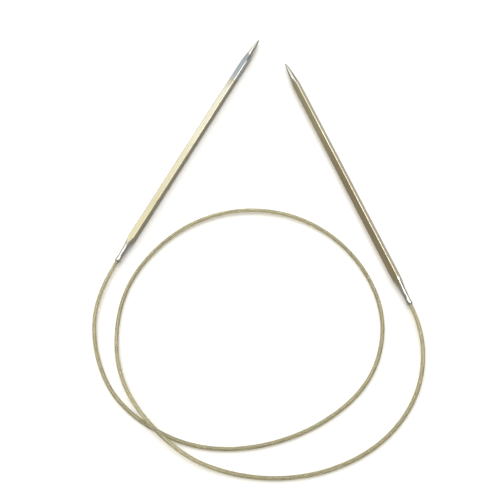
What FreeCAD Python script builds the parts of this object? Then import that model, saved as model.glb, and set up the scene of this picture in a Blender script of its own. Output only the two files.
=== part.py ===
import FreeCAD, Part
import math
import os

# Circular knitting needle: two square metal needles joined by one nylon cord.
# Millimetres. +Z is up, away from the surface that the needle lies on.
# The origin is under the middle of the two needles' box, on that surface.
# Each needle is modelled along +X from the mouth of its neck (x = 0) to its tip, then placed.

V = FreeCAD.Vector

# ---- driving dimensions ----
NEEDLE_LENGTH = 126.0       # mouth of the neck to the tip
ACROSS_FLATS = 3.0          # square shaft
EDGE_RADIUS = 0.40          # rounded long edges of the square
POINT_LENGTH = 20.0         # the solid point, ahead of the seam with the tube
SHANK_LENGTH = 12.0         # the point's shank, pressed into the tube
TUBE_BORE_R = 1.10          # round bore of the square tube
NECK_BORE_R = 0.84          # bore of the drawn-down neck, a running fit on the cord
NECK_BORE_LENGTH = 11.0     # the neck's bore, up to the shoulder that holds the ferrule
CORD_DIAMETER = 1.6
FERRULE_OUTER_R = 1.05
FERRULE_START = 11.2
FERRULE_LENGTH = 8.0
CORD_END_X = 19.4           # the cord's end, inside the needle
PIN_R = 0.30
PIN_LENGTH = 10.0
PIN_HEAD_R = 0.95
PIN_HEAD_T = 0.5
JOINT_GAP = 0.85            # from a bending centre to the flat end of the next length of cord
ARC_SHARE = 0.45            # share of the shorter run that each side of a tangent arc takes

# Turned profile, (distance, radius). The shaft keeps its flats where the profile is wider than the square.
REAR_PROFILE = [(0.0, 1.00), (0.10, 1.06), (2.0, 1.13), (4.5, 1.20), (6.5, 1.28), (8.0, 1.40),
                (9.2, 1.54), (10.6, 1.75), (12.0, 1.92), (13.2, 2.03), (15.0, 2.15)]
TIP_PROFILE = [(0.0, 0.0), (0.09, 0.21), (0.34, 0.36), (1.0, 0.52), (2.0, 0.69), (3.2, 0.86),
               (5.0, 1.06), (7.0, 1.27), (9.2, 1.50), (11.6, 1.72), (14.3, 1.955), (17.0, 2.15)]

# Where each needle lies: mouth of the neck, height of its axis, heading from +X, and how far it is rolled to its left.
LEFT = {"mouth": (-59.87, -45.03), "heading": 61.52, "roll": 9.2}
RIGHT = {"mouth": (59.81, -65.30), "heading": 112.01, "roll": 39.8}

CORD_R = CORD_DIAMETER / 2
LIE = CORD_R                # height of the cord's centreline where it lies on the surface
HUMP = 2.54                 # where it passes over itself


def axis_height(roll):
    a = math.radians(roll)
    return (ACROSS_FLATS / 2 - EDGE_RADIUS) * (abs(math.cos(a)) + abs(math.sin(a))) + EDGE_RADIUS


def direction(needle):
    a = math.radians(needle["heading"])
    return V(math.cos(a), math.sin(a), 0)


def mouth(needle):
    return V(needle["mouth"][0], needle["mouth"][1], axis_height(needle["roll"]))


FIRST_RUN = 16.3
LAST_RUN = 11.9
# The cord's route from the left mouth to the right mouth: the corners of its straight runs.
ROUTE = [mouth(LEFT), mouth(LEFT) - direction(LEFT) * FIRST_RUN] + [V(*p) for p in [
    (-66.9, -82.0, LIE),
    (-56.0, -103.3, LIE),
    (-30.8, -118.3, LIE),
    (-4.9, -120.4, LIE),
    (22.4, -112.1, LIE),
    (44.0, -94.4, LIE),
    (50.5, -68.3, LIE),
    (39.2, -41.9, LIE),
    (16.7, -24.8, LIE + 0.35),
    (-11.6, -21.2, LIE + 0.55),
    (-37.4, -31.6, LIE + 0.25),
    (-56.1, -54.3, LIE),
    (-58.9, -81.5, LIE),
    (-50.1, -102.9, HUMP),
    (-30.6, -121.2, HUMP),
    (-12.9, -128.3, LIE),
    (7.8, -130.5, LIE),
    (29.1, -126.5, LIE),
    (47.8, -116.1, LIE),
    (61.2, -98.6, LIE),
]] + [mouth(RIGHT) - direction(RIGHT) * LAST_RUN, mouth(RIGHT)]

LEFT_LIFT_AT = 7.5          # bending centre for lifting, from the left mouth along the first run
RIGHT_LIFT_AT = 5.5         # the same, from the right mouth


# ---- helpers ----
def unit(v):
    w = V(v)
    w.normalize()
    return w


class Path:
    """Straight runs joined by tangent arcs, as a list of edges that can be cut on any straight stretch."""

    def __init__(self, points):
        self.p = points
        self.n = len(points)
        self.run = [(points[i + 1] - points[i]).Length for i in range(self.n - 1)]
        self.dir = [unit(points[i + 1] - points[i]) for i in range(self.n - 1)]
        self.t = [0.0] * self.n
        self.radius = [None] * self.n
        for i in range(1, self.n - 1):
            turn = self.dir[i - 1].getAngle(self.dir[i])
            self.t[i] = ARC_SHARE * min(self.run[i - 1], self.run[i])
            self.radius[i] = self.t[i] / math.tan(turn / 2)

    def at(self, i, s):
        return self.p[i] + self.dir[i] * s

    def arc(self, i):
        t, r = self.t[i], self.radius[i]
        start = self.p[i] - self.dir[i - 1] * t
        end = self.p[i] + self.dir[i] * t
        inward = unit(self.dir[i] - self.dir[i - 1])
        middle = self.p[i] + inward * (math.sqrt(r * r + t * t) - r)
        return Part.Arc(start, middle, end).toShape()

    def edges(self, i0, s0, i1, s1):
        """Edges from the point s0 along run i0 to the point s1 along run i1."""
        out = []
        at = self.at(i0, s0)
        for i in range(i0 + 1, i1 + 1):
            a = self.p[i] - self.dir[i - 1] * self.t[i]
            if (a - at).Length > 1e-6:
                out.append(Part.LineSegment(at, a).toShape())
            out.append(self.arc(i))
            at = self.p[i] + self.dir[i] * self.t[i]
        b = self.at(i1, s1)
        if (b - at).Length > 1e-6:
            out.append(Part.LineSegment(at, b).toShape())
        return out


def tube(edges, name):
    wire = Part.Wire(edges)
    first = edges[0]
    start = first.valueAt(first.FirstParameter)
    along = first.tangentAt(first.FirstParameter)
    profile = Part.Wire([Part.makeCircle(CORD_R, start, along)])
    solid = wire.makePipeShell([profile], True, False)
    length = sum(e.Length for e in edges)
    want = math.pi * CORD_R ** 2 * length
    print("%s: length %.2f mm, volume %.2f mm3, section x length %.2f mm3" % (name, length, solid.Volume, want))
    return solid, length


def ball_end(centre, outward):
    """Half a ball that rounds the end of a length of cord."""
    return Part.makeSphere(CORD_R, centre, outward, 0, 90, 360)


def turned(profile_points, x_of):
    """Solid of revolution about X from a smooth profile."""
    pts = [V(x_of(x), r, 0) for x, r in profile_points]
    curve = Part.BSplineCurve()
    curve.interpolate(pts)
    return curve, pts


def outer_body():
    """The needle's whole outside: a square bar with rounded edges, turned to a point in front and drawn to a neck behind."""
    h = ACROSS_FLATS / 2
    r = EDGE_RADIUS
    c = h - r
    k = math.sqrt(0.5) * r
    pts = []
    edges = []
    corners = [(1, 1), (-1, 1), (-1, -1), (1, -1)]
    for q, (sy, sz) in enumerate(corners):
        if q % 2 == 0:
            a = V(0, sy * h, sz * c)
            b = V(0, sy * c, sz * h)
        else:
            a = V(0, sy * c, sz * h)
            b = V(0, sy * h, sz * c)
        m = V(0, sy * (c + k), sz * (c + k))
        pts.append((a, m, b))
    for q in range(4):
        a, m, b = pts[q]
        edges.append(Part.Arc(a, m, b).toShape())
        edges.append(Part.LineSegment(b, pts[(q + 1) % 4][0]).toShape())
    section = Part.Face(Part.Wire(edges))
    bar = section.extrude(V(NEEDLE_LENGTH, 0, 0))

    rear, rp = turned(REAR_PROFILE, lambda x: x)
    tip, tp = turned(TIP_PROFILE[::-1], lambda x: NEEDLE_LENGTH - x)
    outline = Part.Wire([
        Part.LineSegment(V(0, 0, 0), rp[0]).toShape(),
        rear.toShape(),
        Part.LineSegment(rp[-1], tp[0]).toShape(),
        tip.toShape(),
        Part.LineSegment(V(NEEDLE_LENGTH, 0, 0), V(0, 0, 0)).toShape(),
    ])
    turned_solid = Part.Face(outline).revolve(V(0, 0, 0), V(1, 0, 0), 360)
    if turned_solid.Volume < 0:
        turned_solid.reverse()
    return bar.common(turned_solid)


def cyl(r, x0, x1):
    return Part.makeCylinder(r, x1 - x0, V(x0, 0, 0), V(1, 0, 0))


def slab(x0, x1):
    return Part.makeBox(x1 - x0, 8, 8, V(x0, -4, -4))


def one(shape, name):
    """The single solid of a shape."""
    shape = shape.removeSplitter() if len(shape.Solids) == 1 else shape
    assert len(shape.Solids) == 1, (name, len(shape.Solids))
    s = shape.Solids[0]
    assert s.isValid(), name
    return s


def placed(shape, needle):
    s = shape.copy()
    s.rotate(V(0, 0, 0), V(1, 0, 0), -needle["roll"])
    s.rotate(V(0, 0, 0), V(0, 0, 1), needle["heading"])
    s.translate(mouth(needle))
    return s


# ---- one needle, in its own frame ----
SEAM = NEEDLE_LENGTH - POINT_LENGTH
body = outer_body()

shaft = body.common(slab(-1, SEAM))
shaft = shaft.cut(cyl(TUBE_BORE_R, NECK_BORE_LENGTH, SEAM + 1))
shaft = shaft.cut(cyl(NECK_BORE_R, -1, NECK_BORE_LENGTH + 1))
shaft = shaft.cut(Part.makeCone(0.93, NECK_BORE_R, 0.12, V(0, 0, 0), V(1, 0, 0)))
shaft = one(shaft, "shaft")

point = body.common(slab(SEAM, NEEDLE_LENGTH + 1))
point = point.fuse(cyl(TUBE_BORE_R, SEAM - SHANK_LENGTH, SEAM))
point = one(point, "point")

ferrule = cyl(FERRULE_OUTER_R, FERRULE_START, FERRULE_START + FERRULE_LENGTH).cut(
    cyl(CORD_R, FERRULE_START - 1, FERRULE_START + FERRULE_LENGTH + 1))
for x in (FERRULE_START + 2.2, FERRULE_START + 5.0):
    ring = cyl(FERRULE_OUTER_R + 0.5, x, x + 0.8).cut(cyl(FERRULE_OUTER_R - 0.08, x - 1, x + 2))
    ferrule = ferrule.cut(ring)
ferrule = one(ferrule, "ferrule")

pin = cyl(PIN_R, CORD_END_X - PIN_LENGTH, CORD_END_X).fuse(cyl(PIN_HEAD_R, CORD_END_X, CORD_END_X + PIN_HEAD_T))
pin = one(pin, "pin")


def cord_end(lift_at):
    """The cord's last straight length: from the lifting centre, into the neck, to the pin's head."""
    s = cyl(CORD_R, -lift_at, CORD_END_X)
    s = s.fuse(Part.makeSphere(CORD_R, V(-lift_at, 0, 0), V(-1, 0, 0), 0, 90, 360))
    s = s.cut(cyl(PIN_R, CORD_END_X - PIN_LENGTH, CORD_END_X + 1))
    return one(s, "cord_end")


# ---- the cord outside the needles ----
path = Path(ROUTE)
last = path.n - 2           # index of the last run
bend_left = path.run[2] / 2
bend_right = path.run[last - 2] / 2

left_lead, l1 = tube(path.edges(0, LEFT_LIFT_AT + JOINT_GAP, 2, bend_left), "left_cord_lead")
left_lead = one(left_lead.fuse(ball_end(path.at(2, bend_left), path.dir[2])), "left_cord_lead")
right_lead, l3 = tube(path.edges(last - 2, bend_right, last, path.run[last] - RIGHT_LIFT_AT - JOINT_GAP), "right_cord_lead")
right_lead = one(right_lead.fuse(ball_end(path.at(last - 2, bend_right), path.dir[last - 2] * -1)), "right_cord_lead")
cord, l2 = tube(path.edges(2, bend_left + JOINT_GAP, last - 2, bend_right - JOINT_GAP), "cord")
cord = one(cord, "cord")

whole = sum(e.Length for e in path.edges(0, 0, last, path.run[last]))
print("cord from mouth to mouth: %.1f mm" % whole)
print("runs:", [round(x, 1) for x in path.run])
print("arc radii:", [round(x, 1) for x in path.radius if x])
print("turns:", [round(math.degrees(path.dir[i - 1].getAngle(path.dir[i])), 1) for i in range(1, path.n - 1)])

parts = {
    "cord": cord,
    "left_cord_lead": left_lead,
    "right_cord_lead": right_lead,
    "left_cord_end": placed(cord_end(LEFT_LIFT_AT), LEFT),
    "right_cord_end": placed(cord_end(RIGHT_LIFT_AT), RIGHT),
    "left_ferrule": placed(ferrule, LEFT),
    "right_ferrule": placed(ferrule, RIGHT),
    "left_core_pin": placed(pin, LEFT),
    "right_core_pin": placed(pin, RIGHT),
    "left_shaft": placed(shaft, LEFT),
    "right_shaft": placed(shaft, RIGHT),
    "left_point": placed(point, LEFT),
    "right_point": placed(point, RIGHT),
}

os.makedirs("parts", exist_ok=True)
for name, shape in parts.items():
    assert len(shape.Solids) == 1 and shape.isValid(), name
    b = shape.BoundBox
    print("%-16s vol %9.2f  x %8.2f %8.2f  y %8.2f %8.2f  z %6.3f %6.3f" % (
        name, shape.Volume, b.XMin, b.XMax, b.YMin, b.YMax, b.ZMin, b.ZMax))
    shape.exportStep("parts/%s.step" % name)

for tag, needle, at in (("left", LEFT, LEFT_LIFT_AT), ("right", RIGHT, RIGHT_LIFT_AT)):
    d = direction(needle)
    m = mouth(needle)
    print(tag, "mouth", m, "direction", d, "lift centre", m - d * at)
print("left bend centre", path.at(2, bend_left), "right bend centre", path.at(last - 2, bend_right))
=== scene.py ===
import math
import bpy
import numpy as np
from mathutils import Matrix, Vector


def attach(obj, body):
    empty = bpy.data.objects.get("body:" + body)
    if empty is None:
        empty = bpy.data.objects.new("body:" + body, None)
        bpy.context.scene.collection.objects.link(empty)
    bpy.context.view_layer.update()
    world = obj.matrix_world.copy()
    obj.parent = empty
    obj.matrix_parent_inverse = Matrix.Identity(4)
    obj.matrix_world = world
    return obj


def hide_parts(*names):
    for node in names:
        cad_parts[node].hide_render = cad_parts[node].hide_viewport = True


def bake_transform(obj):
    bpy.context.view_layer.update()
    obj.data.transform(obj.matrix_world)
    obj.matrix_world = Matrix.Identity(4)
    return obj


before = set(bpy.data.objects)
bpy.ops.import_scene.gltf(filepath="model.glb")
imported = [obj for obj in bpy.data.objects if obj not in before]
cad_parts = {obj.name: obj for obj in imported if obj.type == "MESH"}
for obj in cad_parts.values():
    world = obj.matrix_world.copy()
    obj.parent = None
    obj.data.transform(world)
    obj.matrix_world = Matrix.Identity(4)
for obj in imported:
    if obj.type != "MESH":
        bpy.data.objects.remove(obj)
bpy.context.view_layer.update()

MM = 0.001

# ---------------------------------------------------------------- the needles' places, as in the CAD
LEFT = {"mouth": (-59.87, -45.03), "heading": 61.52, "roll": 9.2}
RIGHT = {"mouth": (59.81, -65.30), "heading": 112.01, "roll": 39.8}
FLATS, EDGE = 3.0, 0.40
NEEDLE = 126.0
CORD_R = 0.8
CORD_END_X = 19.4
LIE, HUMP = 0.8, 2.54


def axis_height(n):
    a = math.radians(n["roll"])
    return (FLATS / 2 - EDGE) * (abs(math.cos(a)) + abs(math.sin(a))) + EDGE


def direction(n):
    a = math.radians(n["heading"])
    return Vector((math.cos(a), math.sin(a), 0))


def mouth(n):
    return Vector((n["mouth"][0], n["mouth"][1], axis_height(n)))


# ---------------------------------------------------------------- camera
cam_data = bpy.data.cameras.new("camera")
cam_data.sensor_width = 36.0
cam_data.lens = 43.2
cam_data.clip_start = 0.01
cam = bpy.data.objects.new("camera", cam_data)
bpy.context.scene.collection.objects.link(cam)
turn = Matrix.Rotation(math.radians(3.0), 4, "Y") @ Matrix.Rotation(math.radians(20.0), 4, "X")
cam.matrix_world = Matrix.Translation(Vector((8.30, -126.34, 236.45)) * MM) @ turn
bpy.context.scene.camera = cam


# ---------------------------------------------------------------- node helpers
class Nodes:
    """A small builder for a material's or world's node tree."""

    def __init__(self, tree):
        self.t = tree

    def add(self, kind, **settings):
        n = self.t.nodes.new(kind)
        for k, v in settings.items():
            setattr(n, k, v)
        return n

    def link(self, a, b):
        self.t.links.new(a, b)

    def math(self, op, a, b=None, clamp=False):
        n = self.add("ShaderNodeMath", operation=op, use_clamp=clamp)
        for i, v in enumerate((a, b)):
            if v is None:
                continue
            if isinstance(v, (int, float)):
                n.inputs[i].default_value = v
            else:
                self.link(v, n.inputs[i])
        return n.outputs[0]

    def ramp(self, value, stops, mode="LINEAR"):
        n = self.add("ShaderNodeValToRGB")
        n.color_ramp.interpolation = mode
        r = n.color_ramp.elements
        while len(r) < len(stops):
            r.new(0.5)
        for e, (at, col) in zip(r, stops):
            e.position = at
            e.color = (*col, 1) if len(col) == 3 else col
        self.link(value, n.inputs[0])
        return n.outputs[0]

    def mix(self, factor, a, b, blend="MIX"):
        n = self.add("ShaderNodeMix", data_type="RGBA", blend_type=blend)
        for socket, v in ((n.inputs[0], factor), (n.inputs[6], a), (n.inputs[7], b)):
            if isinstance(v, (int, float)):
                socket.default_value = v
            elif isinstance(v, (tuple, list)):
                socket.default_value = (*v, 1) if len(v) == 3 else v
            else:
                self.link(v, socket)
        return n.outputs[2]

    def noise(self, vector, scale, detail=3.0, rough=0.5):
        n = self.add("ShaderNodeTexNoise")
        n.inputs["Scale"].default_value = scale
        n.inputs["Detail"].default_value = detail
        n.inputs["Roughness"].default_value = rough
        self.link(vector, n.inputs["Vector"])
        return n.outputs["Fac"]

    def span(self, value, a, b, lo=0.0, hi=1.0, smooth=False):
        n = self.add("ShaderNodeMapRange")
        n.interpolation_type = "SMOOTHSTEP" if smooth else "LINEAR"
        n.clamp = True
        for i, v in enumerate((value, a, b, lo, hi)):
            if isinstance(v, (int, float)):
                n.inputs[i].default_value = v
            else:
                self.link(v, n.inputs[i])
        return n.outputs[0]

    def stretch(self, vector, scale):
        n = self.add("ShaderNodeVectorMath", operation="MULTIPLY")
        self.link(vector, n.inputs[0])
        n.inputs[1].default_value = scale
        return n.outputs[0]


def new_material(name):
    m = bpy.data.materials.new(name)
    m.use_nodes = True
    t = m.node_tree
    t.nodes.clear()
    nb = Nodes(t)
    out = nb.add("ShaderNodeOutputMaterial")
    bsdf = nb.add("ShaderNodeBsdfPrincipled")
    nb.link(bsdf.outputs[0], out.inputs[0])
    return m, nb, bsdf


def needle_coordinates(nb, needle):
    """Object coordinates turned into the needle's own frame, in millimetres: x from the mouth to the tip."""
    tc = nb.add("ShaderNodeTexCoord")
    place = (
        Matrix.Translation(mouth(needle) * MM)
        @ Matrix.Rotation(math.radians(needle["heading"]), 4, "Z")
        @ Matrix.Rotation(math.radians(-needle["roll"]), 4, "X")
    ).inverted()
    scaled = Matrix.Scale(1000.0, 4) @ place
    loc = scaled.to_translation()
    m = nb.add("ShaderNodeMapping", vector_type="POINT")
    m.inputs["Location"].default_value = loc
    m.inputs["Rotation"].default_value = place.to_euler("XYZ")
    m.inputs["Scale"].default_value = (1000, 1000, 1000)
    nb.link(tc.outputs["Object"], m.inputs["Vector"])
    return m.outputs[0]


# ---------------------------------------------------------------- materials
CHAMPAGNE = (0.360, 0.330, 0.238)
SILVER = (0.345, 0.336, 0.312)


def metal(name, needle, grey_tip_length=0.0):
    """The needle's metal: champagne on the square's flats, plain silver where it is turned or drawn down, and painted
    shade on the side faces.

    The last argument is how far behind the tip the top flat is coloured grey-silver as well, in millimetres."""
    m, nb, bsdf = new_material(name)
    p = needle_coordinates(nb, needle)
    xyz = nb.add("ShaderNodeSeparateXYZ")
    nb.link(p, xyz.inputs[0])
    x, y, z = xyz.outputs
    # depth under the rounded square: 0 on its flats and edges, below 0 where metal was turned away
    core = FLATS / 2 - EDGE
    ay = nb.math("MAXIMUM", nb.math("SUBTRACT", nb.math("ABSOLUTE", y), core), 0.0)
    az = nb.math("MAXIMUM", nb.math("SUBTRACT", nb.math("ABSOLUTE", z), core), 0.0)
    depth = nb.math("SUBTRACT", EDGE, nb.math("SQRT", nb.math("ADD", nb.math("MULTIPLY", ay, ay), nb.math("MULTIPLY", az, az))))
    turned = nb.span(depth, 0.025, 0.05)
    grey_top = 0.0
    fringe = 0.0
    # the faces at the sides, where shade is painted below
    side = nb.math("SUBTRACT", 1.0, nb.span(az, 0.0, 0.10))
    # near the point the top flat is coloured grey-silver, edged by a warmer line
    if grey_tip_length:
        edge = nb.math("ADD", x, nb.math("MULTIPLY", nb.math("SUBTRACT", nb.noise(nb.stretch(p, (0.1, 2.2, 0.1)), 1.0, 3.0, 0.6), 0.5), 2.4))
        top = nb.span(z, core - 0.02, core + 0.10)
        tip_zone = nb.span(edge, NEEDLE - grey_tip_length - 0.3, NEEDLE - grey_tip_length + 0.3)
        grey_top = nb.math("MULTIPLY", tip_zone, top)
        near_edge = nb.math("SUBTRACT", 1.0, nb.math("MINIMUM", nb.math("MULTIPLY", nb.math("ABSOLUTE", nb.math("SUBTRACT", edge, NEEDLE - grey_tip_length - 0.9)), 0.8), 1.0))
        fringe = nb.math("MULTIPLY", near_edge, top)

    # brushing along the needle on the flats, fine rings round it where it is turned
    lengthwise = nb.noise(nb.stretch(p, (0.05, 2.6, 2.6)), 1.0, 4.0, 0.6)
    fine = nb.noise(nb.stretch(p, (0.12, 9.0, 9.0)), 1.0, 3.0, 0.6)
    radius = nb.math("SQRT", nb.math("ADD", nb.math("MULTIPLY", y, y), nb.math("MULTIPLY", z, z)))
    rings = nb.add("ShaderNodeTexNoise", noise_dimensions="1D")
    rings.inputs["Scale"].default_value = 9.0
    rings.inputs["Detail"].default_value = 2.0
    nb.link(x, rings.inputs["W"])
    blotch = nb.noise(p, 0.35, 3.0, 0.55)

    gold = nb.mix(nb.span(lengthwise, 0.3, 0.7), tuple(c * 0.84 for c in CHAMPAGNE), tuple(min(1, c * 1.14) for c in CHAMPAGNE))
    gold = nb.mix(nb.span(fine, 0.35, 0.75, 0.0, 0.35), gold, tuple(c * 0.78 for c in CHAMPAGNE))
    gold = nb.mix(nb.span(blotch, 0.45, 0.75, 0.0, 0.22), gold, (0.33, 0.312, 0.26))
    # the colour is paler towards the points, and painted shade makes the faces at the sides darker
    if grey_tip_length:
        # the colour grows paler and bluer towards the point
        tone = nb.add("ShaderNodeMix", data_type="RGBA", blend_type="MULTIPLY")
        tone.inputs[0].default_value = 1.0
        nb.link(gold, tone.inputs[6])
        nb.link(nb.mix(nb.span(x, NEEDLE - 96, NEEDLE - 31), (0.873, 0.892, 0.853), (0.965, 1.03, 1.21)), tone.inputs[7])
        gold = tone.outputs[2]
        # painted shade: the left needle's side faces are coloured darker, greyer near the point
        painted_side_shade = nb.mix(nb.span(lengthwise, 0.3, 0.7), (0.200, 0.174, 0.125), (0.275, 0.239, 0.172))
        painted_side_shade = nb.mix(tip_zone, painted_side_shade, nb.mix(nb.span(lengthwise, 0.3, 0.7), (0.235, 0.229, 0.207), (0.300, 0.292, 0.264)))
        gold = nb.mix(side, gold, painted_side_shade)
    else:
        # the top face is coloured paler towards the point
        pale = nb.math("MULTIPLY", nb.span(x, NEEDLE - 58, NEEDLE - 40), nb.span(z, core - 0.02, core + 0.10))
        gold = nb.mix(pale, gold, (1.28, 1.33, 1.34), "MULTIPLY")
        # painted shade: the right needle's side faces are coloured darker
        gold = nb.mix(side, gold, (0.78, 0.77, 0.84), "MULTIPLY")
    # the warmer line and the grey-silver top flat near the point
    gold = nb.mix(fringe, gold, (0.34, 0.292, 0.235)) if grey_tip_length else gold
    gold = nb.mix(grey_top, gold, nb.mix(nb.span(lengthwise, 0.3, 0.7), (0.29, 0.30, 0.295), (0.36, 0.37, 0.365))) if grey_tip_length else gold
    silver = nb.mix(nb.span(rings.outputs["Fac"], 0.3, 0.7), tuple(c * 0.93 for c in SILVER), tuple(min(1, c * 1.06) for c in SILVER))
    nb.link(nb.mix(turned, gold, silver), bsdf.inputs["Base Color"])
    bsdf.inputs["Metallic"].default_value = 1.0
    rough_flat = nb.span(fine, 0.3, 0.75, 0.045, 0.10)
    rough_turned = nb.span(rings.outputs["Fac"], 0.3, 0.7, 0.06, 0.12)
    mixr = nb.add("ShaderNodeMix", data_type="FLOAT")
    nb.link(turned, mixr.inputs[0])
    nb.link(rough_flat, mixr.inputs[2])
    nb.link(rough_turned, mixr.inputs[3])
    nb.link(mixr.outputs[0], bsdf.inputs["Roughness"])
    # relief
    height = nb.add("ShaderNodeMix", data_type="FLOAT")
    nb.link(turned, height.inputs[0])
    nb.link(nb.math("ADD", nb.math("MULTIPLY", lengthwise, 0.6), nb.math("MULTIPLY", fine, 0.4)), height.inputs[2])
    nb.link(nb.math("MULTIPLY", rings.outputs["Fac"], 0.5), height.inputs[3])
    bump = nb.add("ShaderNodeBump")
    bump.inputs["Strength"].default_value = 0.35
    bump.inputs["Distance"].default_value = 0.00002
    nb.link(height.outputs[0], bump.inputs["Height"])
    nb.link(bump.outputs[0], bsdf.inputs["Normal"])
    return m


def nylon(name):
    """Translucent khaki nylon, drawn smooth, a little cloudy along its length."""
    m, nb, bsdf = new_material(name)
    uv = nb.add("ShaderNodeUVMap")
    uv.uv_map = "along"
    sep = nb.add("ShaderNodeSeparateXYZ")
    nb.link(uv.outputs[0], sep.inputs[0])
    u, v = sep.outputs[0], sep.outputs[1]      # u round the cord from 0 to 1, v along it in millimetres
    a = nb.math("MULTIPLY", u, 2 * math.pi)
    ring = nb.add("ShaderNodeCombineXYZ")
    nb.link(nb.math("COSINE", a), ring.inputs[0])
    nb.link(nb.math("SINE", a), ring.inputs[1])
    nb.link(nb.math("MULTIPLY", v, 0.08), ring.inputs[2])
    cloudy = nb.noise(ring.outputs[0], 1.0, 4.0, 0.6)
    drawn = nb.noise(nb.stretch(ring.outputs[0], (5.0, 5.0, 0.8)), 1.0, 3.0, 0.6)
    slow = nb.add("ShaderNodeTexNoise", noise_dimensions="1D")
    slow.inputs["Scale"].default_value = 0.02
    slow.inputs["Detail"].default_value = 3.0
    nb.link(v, slow.inputs["W"])
    base = nb.mix(nb.span(cloudy, 0.3, 0.7), (0.43, 0.396, 0.225), (0.54, 0.508, 0.330))
    base = nb.mix(nb.span(slow.outputs["Fac"], 0.35, 0.65, 0.0, 0.45), base, (0.45, 0.398, 0.232))
    base = nb.mix(nb.span(drawn, 0.45, 0.75, 0.0, 0.25), base, (0.58, 0.557, 0.402))
    nb.link(base, bsdf.inputs["Base Color"])
    nb.link(nb.span(cloudy, 0.3, 0.7, 0.24, 0.30), bsdf.inputs["Roughness"])
    bsdf.inputs["IOR"].default_value = 1.53
    bsdf.inputs["Transmission Weight"].default_value = 0.66
    bump = nb.add("ShaderNodeBump")
    bump.inputs["Strength"].default_value = 0.12
    bump.inputs["Distance"].default_value = 0.00002
    nb.link(drawn, bump.inputs["Height"])
    nb.link(bump.outputs[0], bsdf.inputs["Normal"])
    return m


def plain_metal(name, color, rough):
    m, nb, bsdf = new_material(name)
    tc = nb.add("ShaderNodeTexCoord")
    n = nb.noise(tc.outputs["Object"], 2500.0, 3.0, 0.6)
    nb.link(nb.mix(nb.span(n, 0.3, 0.7), tuple(c * 0.85 for c in color), color), bsdf.inputs["Base Color"])
    bsdf.inputs["Metallic"].default_value = 1.0
    nb.link(nb.span(n, 0.3, 0.7, rough, rough + 0.12), bsdf.inputs["Roughness"])
    return m


METAL = {"left": metal("needle_metal_left", LEFT, grey_tip_length=25.4), "right": metal("needle_metal_right", RIGHT)}
NYLON = nylon("nylon_khaki")

CRIMP = plain_metal("crimp_brass", (0.72, 0.56, 0.28), 0.30)
PIN = plain_metal("pin_steel", (0.56, 0.56, 0.57), 0.28)

for side in ("left", "right"):
    for node, mat in (("shaft", METAL[side]), ("point", METAL[side]), ("ferrule", CRIMP), ("core_pin", PIN)):
        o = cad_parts["%s_%s" % (side, node)]
        for s in o.material_slots:
            s.material = mat
        if not o.material_slots:
            o.data.materials.append(mat)

# ---------------------------------------------------------------- the cord
# The route's points, as in the CAD, in metres here.
ROUTE = [mouth(LEFT), mouth(LEFT) - direction(LEFT) * 16.3] + [Vector(p) for p in [
    (-66.9, -82.0, LIE),
    (-56.0, -103.3, LIE),
    (-30.8, -118.3, LIE),
    (-4.9, -120.4, LIE),
    (22.4, -112.1, LIE),
    (44.0, -94.4, LIE),
    (50.5, -68.3, LIE),
    (39.2, -41.9, LIE),
    (16.7, -24.8, LIE + 0.35),
    (-11.6, -21.2, LIE + 0.55),
    (-37.4, -31.6, LIE + 0.25),
    (-56.1, -54.3, LIE),
    (-58.9, -81.5, LIE),
    (-50.1, -102.9, HUMP),
    (-30.6, -121.2, HUMP),
    (-12.9, -128.3, LIE),
    (7.8, -130.5, LIE),
    (29.1, -126.5, LIE),
    (47.8, -116.1, LIE),
    (61.2, -98.6, LIE),
]] + [mouth(RIGHT) - direction(RIGHT) * 11.9, mouth(RIGHT)]
ROUTE = [p * MM for p in ROUTE]


def spline_points(points, resolution):
    """Points read from one NURBS spline whose control points are the route's points."""
    c = bpy.data.curves.new("route", "CURVE")
    c.dimensions = "3D"
    c.resolution_u = resolution
    s = c.splines.new("NURBS")
    s.points.add(len(points) - 1)
    for q, p in zip(s.points, points):
        q.co = (*p, 1.0)
    s.order_u = 3
    s.use_endpoint_u = True
    o = bpy.data.objects.new("route", c)
    m = bpy.data.meshes.new_from_object(o)
    line = [v.co.copy() for v in m.vertices]
    bpy.data.meshes.remove(m)
    bpy.data.objects.remove(o)
    bpy.data.curves.remove(c)
    return line


LINE = spline_points(ROUTE, 36)
if (LINE[0] - ROUTE[0]).length > (LINE[-1] - ROUTE[0]).length:
    LINE.reverse()
ALONG = [0.0]
for a, b in zip(LINE, LINE[1:]):
    ALONG.append(ALONG[-1] + (b - a).length)
TOTAL = ALONG[-1]


def frames(line):
    """A direction and a side at each point, the side carried along without twisting."""
    tangents = []
    for i in range(len(line)):
        a, b = line[max(i - 1, 0)], line[min(i + 1, len(line) - 1)]
        tangents.append((b - a).normalized())
    side = Vector((0, 0, 1)).cross(tangents[0]).normalized()
    sides = []
    for i, t in enumerate(tangents):
        side = (side - t * side.dot(t)).normalized()
        sides.append(side.copy())
    return tangents, sides


# the ends that run on into the necks, straight along their bores
INSIDE = 8
left_in = [mouth(LEFT) * MM + direction(LEFT) * MM * CORD_END_X * (INSIDE - k) / INSIDE for k in range(INSIDE)]
right_in = [mouth(RIGHT) * MM + direction(RIGHT) * MM * CORD_END_X * (k + 1) / INSIDE for k in range(INSIDE)]
WHOLE = left_in + LINE + right_in
S = [-(CORD_END_X * MM) * (INSIDE - k) / INSIDE for k in range(INSIDE)] + ALONG + [TOTAL + CORD_END_X * MM * (k + 1) / INSIDE for k in range(INSIDE)]
TAN, SIDE = frames(WHOLE)
ROUND = 28


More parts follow.
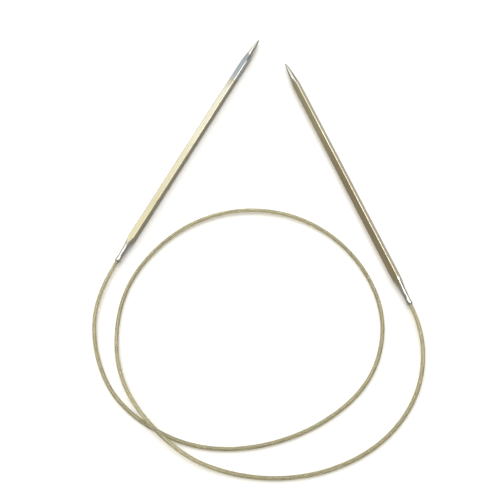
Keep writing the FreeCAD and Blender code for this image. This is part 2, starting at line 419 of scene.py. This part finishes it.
def cord_piece(name, s0, s1, cap0=False, cap1=False):
    """The cord's round strand from s0 to s1 metres along it. Neighbouring lengths share the ring where they meet."""
    idx = [i for i in range(len(WHOLE)) if s0 - 1e-9 <= S[i] <= s1 + 1e-9]
    n = len(idx)
    verts, faces, uvs = [], [], []
    for i in idx:
        c, t, a = WHOLE[i], TAN[i], SIDE[i]
        b = t.cross(a)
        for k in range(ROUND):
            w = 2 * math.pi * k / ROUND
            verts.append(c + (a * math.cos(w) + b * math.sin(w)) * CORD_R * MM)
    for j in range(n - 1):
        v0, v1 = S[idx[j]] * 1000, S[idx[j + 1]] * 1000
        for k in range(ROUND):
            k2 = (k + 1) % ROUND
            p, q = j * ROUND, (j + 1) * ROUND
            faces.append((p + k, p + k2, q + k2, q + k))
            uvs += [(k / ROUND, v0), ((k + 1) / ROUND, v0), ((k + 1) / ROUND, v1), (k / ROUND, v1)]
    around = len(faces)
    if cap0:
        faces.append(tuple(reversed(range(ROUND))))
        uvs += [(k / ROUND, S[idx[0]] * 1000) for k in reversed(range(ROUND))]
    if cap1:
        faces.append(tuple(range((n - 1) * ROUND, n * ROUND)))
        uvs += [(k / ROUND, S[idx[-1]] * 1000) for k in range(ROUND)]
    me = bpy.data.meshes.new(name)
    me.from_pydata([tuple(v) for v in verts], [], faces)
    layer = me.uv_layers.new(name="along")
    layer.data.foreach_set("uv", [x for uv in uvs for x in uv])
    me.polygons.foreach_set("use_smooth", [i < around for i in range(len(faces))])
    me.materials.append(NYLON)
    me.update()
    o = bpy.data.objects.new(name, me)
    bpy.context.scene.collection.objects.link(o)
    line = [WHOLE[i] for i in idx]
    length = sum((q - p).length for p, q in zip(line, line[1:]))
    return o, line, length


def near(s):
    """The ring nearest to s metres along the cord."""
    i = min(range(len(S)), key=lambda k: abs(S[k] - s))
    return S[i], WHOLE[i]


CUT1, _ = near(0.0165)
CUT2, _ = near(0.078)
CUT3, _ = near(TOTAL - 0.080)
CUT4, _ = near(TOTAL - 0.0140)

left_tail, l1, n1 = cord_piece("cord_left_end", S[0], CUT1, cap0=True)
left_run, l2, n2 = cord_piece("cord_left_bend", CUT1, CUT2)
middle, l3, n3 = cord_piece("cord_loop", CUT2, CUT3)
right_run, l4, n4 = cord_piece("cord_right_bend", CUT3, CUT4)
right_tail, l5, n5 = cord_piece("cord_right_end", CUT4, S[-1], cap1=True)

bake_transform(left_tail)
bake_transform(left_run)
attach(middle, "cord")
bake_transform(right_run)
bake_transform(right_tail)

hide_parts("left_cord_end")
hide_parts("left_cord_lead")
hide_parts("cord")
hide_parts("right_cord_lead")
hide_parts("right_cord_end")

# ---------------------------------------------------------------- floor, light, surroundings
me = bpy.data.meshes.new("floor")
R = 1.6
ring = [(R * math.cos(2 * math.pi * k / 96), R * math.sin(2 * math.pi * k / 96), 0.0) for k in range(96)]
me.from_pydata(ring, [], [tuple(range(96))])
floor = bpy.data.objects.new("floor", me)
bpy.context.scene.collection.objects.link(floor)
m, nb, bsdf = new_material("floor_paper")
tc = nb.add("ShaderNodeTexCoord")
grain = nb.noise(tc.outputs["Object"], 900.0, 3.0, 0.6)
nb.link(nb.mix(nb.span(grain, 0.3, 0.7), (0.895, 0.893, 0.885), (0.905, 0.903, 0.895)), bsdf.inputs["Base Color"])
bsdf.inputs["Roughness"].default_value = 0.6
bsdf.inputs["Specular IOR Level"].default_value = 0.25
bsdf.inputs["Emission Color"].default_value = (1.0, 1.0, 0.985, 1)
bsdf.inputs["Emission Strength"].default_value = 0.10
me.materials.append(m)

world = bpy.data.worlds.new("studio")
bpy.context.scene.world = world
world.use_nodes = True
t = world.node_tree
t.nodes.clear()
nb = Nodes(t)
out = nb.add("ShaderNodeOutputWorld")
bg = nb.add("ShaderNodeBackground")
nb.link(bg.outputs[0], out.inputs[0])
tc = nb.add("ShaderNodeTexCoord")
sep = nb.add("ShaderNodeSeparateXYZ")
nb.link(tc.outputs["Generated"], sep.inputs[0])


def toward(vector, at, inner, outer):
    """1 within inner degrees of a direction, 0 beyond outer degrees."""
    n = nb.add("ShaderNodeVectorMath", operation="DOT_PRODUCT")
    nb.link(vector, n.inputs[0])
    n.inputs[1].default_value = Vector(at).normalized()
    return nb.span(n.outputs["Value"], math.cos(math.radians(outer)), math.cos(math.radians(inner)), 0.0, 1.0, smooth=True)


# a plain pale room: one wide soft light overhead to the far left, cooler beyond it, dim low down at the near left
look = tc.outputs["Generated"]
room = nb.mix(toward(look, (0.25, 0.15, 0.95), 15, 55), (0.52, 0.52, 0.52), (0.85, 0.85, 0.84))
room = nb.mix(toward(look, (-0.85, -0.42, 0.30), 15, 70), room, (0.66, 0.60, 0.50))
soft = nb.mix(toward(look, (-0.192, 0.762, 0.618), 6.2, 7.7), (2.75, 2.70, 2.56), (1.17, 1.27, 1.35))
room = nb.mix(toward(look, (0.28, 0.52, 0.80), 10, 24), room, (1.80, 1.79, 1.75))
room = nb.mix(toward(look, (0.28, 0.54, 0.79), 3.5, 6.5), room, (15.0, 14.8, 14.3))
lit = nb.mix(toward(look, (-0.36, 0.60, 0.70), 26, 40), room, soft)
seen = nb.add("ShaderNodeLightPath")
strip = nb.mix(toward(look, (-0.66, 0.70, 0.27), 9, 17), lit, (0.22, 0.21, 0.19))
for d in ((0.307, 0.493, 0.814), (0.359, 0.406, 0.840), (0.407, 0.315, 0.858), (0.450, 0.220, 0.866),
          (0.489, 0.122, 0.864)):
    strip = nb.mix(toward(look, d, 4, 8.5), strip, (11.0, 10.8, 10.5))
strip = nb.mix(toward(look, (-0.07, 0.21, 0.98), 6, 11), strip, (7.5, 7.4, 7.2))
nb.link(nb.mix(seen.outputs["Is Glossy Ray"], lit, strip), bg.inputs[0])
bg.inputs[1].default_value = 1.0
pale = nb.add("ShaderNodeBackground")
pale.inputs[0].default_value = (0.93, 0.93, 0.92, 1)
either = nb.add("ShaderNodeMixShader")
nb.link(seen.outputs["Is Camera Ray"], either.inputs[0])
nb.link(bg.outputs[0], either.inputs[1])
nb.link(pale.outputs[0], either.inputs[2])
nb.link(either.outputs[0], out.inputs[0])

scene = bpy.context.scene
scene.view_settings.view_transform = "Standard"
scene.view_settings.look = "None"
scene.view_settings.exposure = 0.0
scene.view_settings.gamma = 1.0
